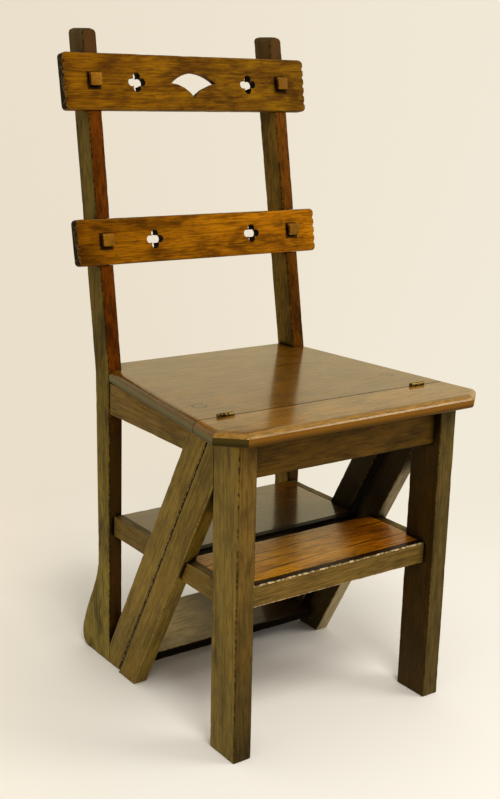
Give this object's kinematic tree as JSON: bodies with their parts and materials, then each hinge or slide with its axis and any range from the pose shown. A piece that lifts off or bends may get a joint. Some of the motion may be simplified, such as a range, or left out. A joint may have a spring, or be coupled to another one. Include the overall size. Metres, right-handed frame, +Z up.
{
  "type": "library step chair",
  "caption": "Stained oak library chair whose back section swings over the front on seat hinges to make a flight of steps; pierced, notched back rails.",
  "frame": {"origin": "centre of the bounding box's base, on the floor", "axes": "+X to the right of someone facing the chair's front, which is -Y; +Y towards its back, +Z up"},
  "size_m": [0.4326, 0.4776, 0.9136],
  "materials": {
    "oak_frame": "dark stained oak, thin satin varnish",
    "oak_post": "dark stained oak, satin varnish",
    "oak_seat": "stained oak, worn glossy varnish",
    "oak_shelf": "stained oak, glossy varnish",
    "oak_back_rail": "golden stained oak, satin varnish",
    "oak_peg": "golden stained oak, satin varnish",
    "hinge_brass": "aged brass",
    "pin_steel": "dull steel"
  },
  "bodies": {
    "front_section": {"front_leg_left": "oak_frame", "front_leg_right": "oak_frame", "front_brace_left": "oak_frame", "front_brace_right": "oak_frame", "apron": "oak_frame", "front_seat_strip": "oak_seat", "front_shelf_rail": "oak_frame", "front_shelf_side_rail_left": "oak_frame", "front_shelf_side_rail_right": "oak_frame", "front_shelf_board": "oak_shelf", "front_hinge_leaf_left": "hinge_brass", "front_hinge_leaf_right": "hinge_brass", "hinge_pin_left": "pin_steel", "hinge_pin_right": "pin_steel", "front_hinge_screw_left_1": "hinge_brass", "front_hinge_screw_left_2": "hinge_brass", "front_hinge_screw_right_1": "hinge_brass", "front_hinge_screw_right_2": "hinge_brass"},
    "rear_section": {"back_post_left": "oak_post", "back_post_right": "oak_post", "rear_brace_left": "oak_frame", "rear_brace_right": "oak_frame", "seat_side_rail_left": "oak_frame", "seat_side_rail_right": "oak_frame", "rear_seat_rail": "oak_frame", "rear_seat_board": "oak_seat", "rear_shelf_board": "oak_shelf", "rear_shelf_nosing": "oak_shelf", "rear_shelf_side_rail_left": "oak_frame", "rear_shelf_side_rail_right": "oak_frame", "low_board": "oak_shelf", "crest_rail": "oak_back_rail", "lower_back_rail": "oak_back_rail", "crest_rail_peg_left": "oak_peg", "crest_rail_peg_right": "oak_peg", "lower_back_rail_peg_left": "oak_peg", "lower_back_rail_peg_right": "oak_peg", "seat_plug_left": "oak_seat", "seat_plug_right": "oak_seat", "seat_screw_left": "hinge_brass", "seat_screw_right": "hinge_brass", "rear_hinge_leaf_left": "hinge_brass", "rear_hinge_leaf_right": "hinge_brass", "rear_hinge_screw_left_1": "hinge_brass", "rear_hinge_screw_left_2": "hinge_brass", "rear_hinge_screw_right_1": "hinge_brass", "rear_hinge_screw_right_2": "hinge_brass"}
  },
  "joints": [
    {"name": "seat_hinge", "type": "hinge", "parent": "front_section", "child": "rear_section", "pos_m": [0, -0.1551, 0.4568], "axis": [1, 0, 0], "range_deg": [0, 180]}
  ]
}
